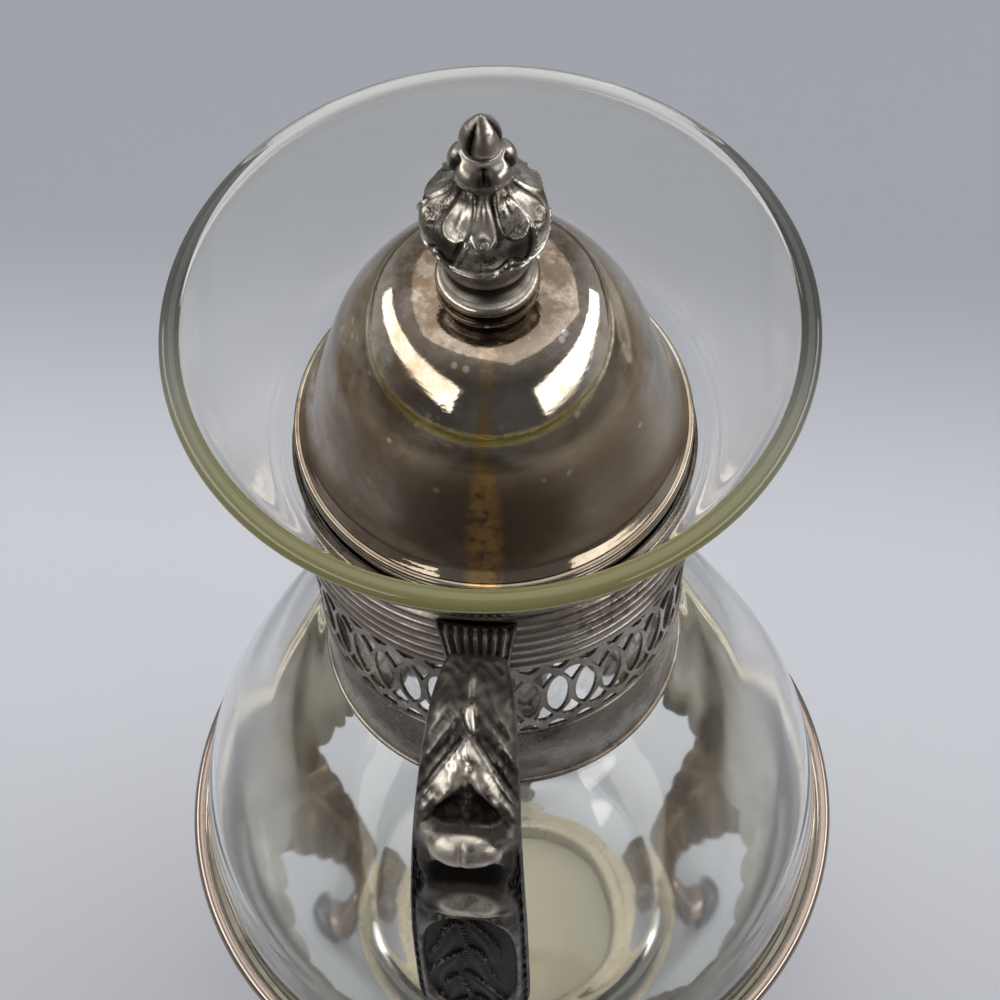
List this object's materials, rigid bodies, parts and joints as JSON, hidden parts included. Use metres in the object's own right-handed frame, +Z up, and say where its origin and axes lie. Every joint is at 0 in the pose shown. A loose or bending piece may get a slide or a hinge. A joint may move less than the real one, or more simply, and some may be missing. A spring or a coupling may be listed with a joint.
{
  "type": "coffee carafe",
  "caption": "Glass carafe with a flared mouth, pierced metal collar, cast handle and loose domed lid, in a five-legged warming stand with a candle burner.",
  "frame": {"origin": "on the vessel's axis at table height, which is the centre of the bounding box's bottom", "axes": "+Z up along the vessel's axis; the handle points to -Y; +X is to the right seen from the handle"},
  "size_m": [0.151, 0.151, 0.3715],
  "materials": {
    "clear_glass": "clear, very slightly green at the rim",
    "collar_silver": "tarnished silver plate",
    "handle_cast": "dark oxidised cast metal, worn bright on the high places",
    "clamp_steel": "plain steel",
    "lid_silver": "polished, tarnished grey-brown",
    "finial_cast": "dark cast metal with pale deposits",
    "stand_silver": "polished, lightly tarnished",
    "leg_copper": "copper-brown where the plating has worn off",
    "foot_iron": "dark grey",
    "rivet_brass": "brass",
    "candle_wax": "white wax",
    "wick_cotton": "cotton"
  },
  "bodies": {
    "stand": {"stand_rim": "stand_silver", "stand_gallery": "stand_silver", "leg_back": "leg_copper", "leg_left": "leg_copper", "leg_front_left": "leg_copper", "leg_front_right": "leg_copper", "leg_right": "leg_copper", "leg_rivets": "rivet_brass", "foot_back": "foot_iron", "foot_left": "foot_iron", "foot_front_left": "foot_iron", "foot_front_right": "foot_iron", "foot_right": "foot_iron", "burner_bracket": "stand_silver", "bracket_rivets": "rivet_brass"},
    "carafe": {"glass_vessel": "clear_glass", "collar_reeded_band": "collar_silver", "collar_pierced_gallery": "collar_silver", "collar_foot_band": "collar_silver", "collar_clamp_lugs": "collar_silver", "handle_root_plate": "handle_cast", "handle": "handle_cast", "clamp_screw": "clamp_steel", "clamp_nut": "clamp_steel"},
    "lid": {"lid_dome": "lid_silver", "lid_rim": "lid_silver", "lid_skirt": "lid_silver", "finial_base": "finial_cast", "finial": "finial_cast", "finial_washer": "clamp_steel", "finial_screw": "clamp_steel"},
    "burner": {"burner_cup": "stand_silver", "candle": "candle_wax", "candle_wick": "wick_cotton"}
  },
  "joints": [
    {"name": "carafe_lift", "type": "slide", "parent": "stand", "child": "carafe", "axis": [0, 0, 1], "range_m": [0, 0.075]},
    {"name": "lid_lift", "type": "slide", "parent": "carafe", "child": "lid", "axis": [0, 0, 1], "range_m": [0, 0.07]},
    {"name": "burner_lift", "type": "slide", "parent": "stand", "child": "burner", "axis": [0, 0, 1], "range_m": [0, 0.02]}
  ]
}
